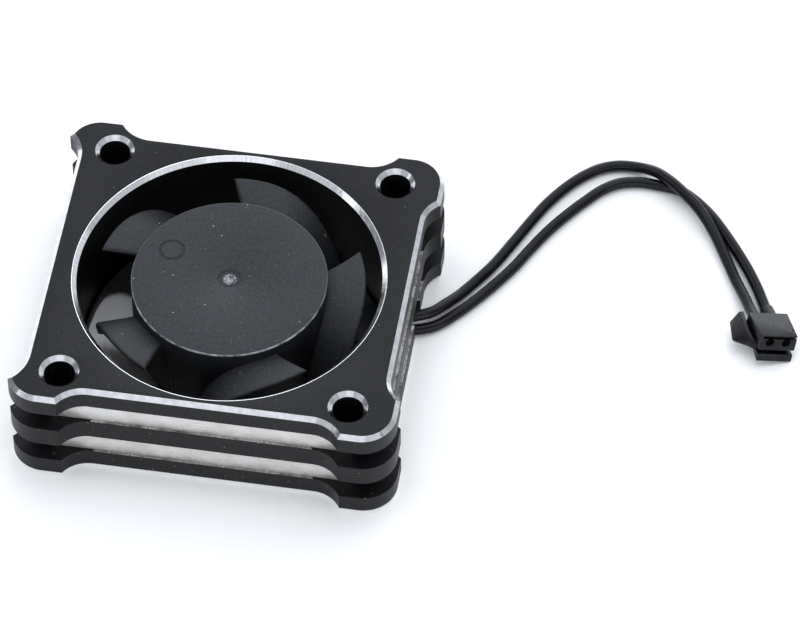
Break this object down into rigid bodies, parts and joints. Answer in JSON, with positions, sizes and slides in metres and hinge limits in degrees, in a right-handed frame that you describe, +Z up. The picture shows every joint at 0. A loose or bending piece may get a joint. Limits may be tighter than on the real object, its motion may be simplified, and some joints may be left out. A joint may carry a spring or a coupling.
{
  "type": "axial cooling fan",
  "caption": "Small square axial cooling fan in a grooved black metal case with bright edges, a curved-blade rotor, and a short wire lead ending in a small plug.",
  "frame": {"origin": "centre of the case's bottom face, on the rotor's axis", "axes": "+Z up along the rotor axis, out of the open face with the hub; +X towards the side where the lead leaves; +Y towards the back"},
  "size_m": [0.0631, 0.0405, 0.01],
  "materials": {
    "case_black_anodise": "satin bead-blasted black anodise; edges, countersinks and groove floors bare bright metal",
    "fan_plastic": "matte dark grey moulded glass-filled plastic with a fine grain",
    "base_plastic": "matte black moulded plastic",
    "plug_nylon": "satin black moulded nylon",
    "wire_skin": "soft satin black insulation",
    "bearing_steel": "ground bright bearing steel",
    "yoke_steel": "drawn plated steel",
    "spring_steel": "hard-drawn bright steel",
    "silicon_steel": "stacked laminations with a dull oxide skin",
    "brass": "turned brass",
    "copper_winding": "enamelled copper wire",
    "ferrite": "dark grey bonded ferrite",
    "insulator_nylon": "natural nylon",
    "board": "green solder mask on glass laminate",
    "chip_epoxy": "black moulding epoxy",
    "capacitor_ceramic": "tan ceramic with tinned ends",
    "label_foil": "blank silver polyester label",
    "tinned_terminal": "tinned phosphor bronze"
  },
  "bodies": {
    "housing": {"case": "case_black_anodise", "motor_base": "base_plastic", "bearing_tube": "brass", "bearing_outer_ring_lower": "bearing_steel", "ball_cage_lower": "bearing_steel", "bearing_outer_ring_upper": "bearing_steel", "ball_cage_upper": "bearing_steel", "stator_core": "silicon_steel", "stator_insulator_lower": "insulator_nylon", "stator_insulator_upper": "insulator_nylon", "coil_1": "copper_winding", "coil_2": "copper_winding", "coil_3": "copper_winding", "coil_4": "copper_winding", "circuit_board": "board", "driver_chip": "chip_epoxy", "capacitor": "capacitor_ceramic", "base_label": "label_foil", "lead_wire_1": "wire_skin", "lead_wire_2": "wire_skin", "connector_housing": "plug_nylon", "terminal_1": "tinned_terminal", "terminal_2": "tinned_terminal"},
    "rotor": {"impeller": "fan_plastic", "rotor_yoke": "yoke_steel", "ring_magnet": "ferrite", "rotor_bushing": "brass", "shaft": "bearing_steel", "bearing_inner_ring_lower": "bearing_steel", "bearing_inner_ring_upper": "bearing_steel", "preload_spring": "spring_steel", "retaining_clip": "spring_steel"}
  },
  "joints": [
    {"name": "rotor_spin", "type": "hinge", "parent": "housing", "child": "rotor", "pos_m": [0, 0, 0.005], "axis": [0, 0, 1], "continuous": true}
  ]
}
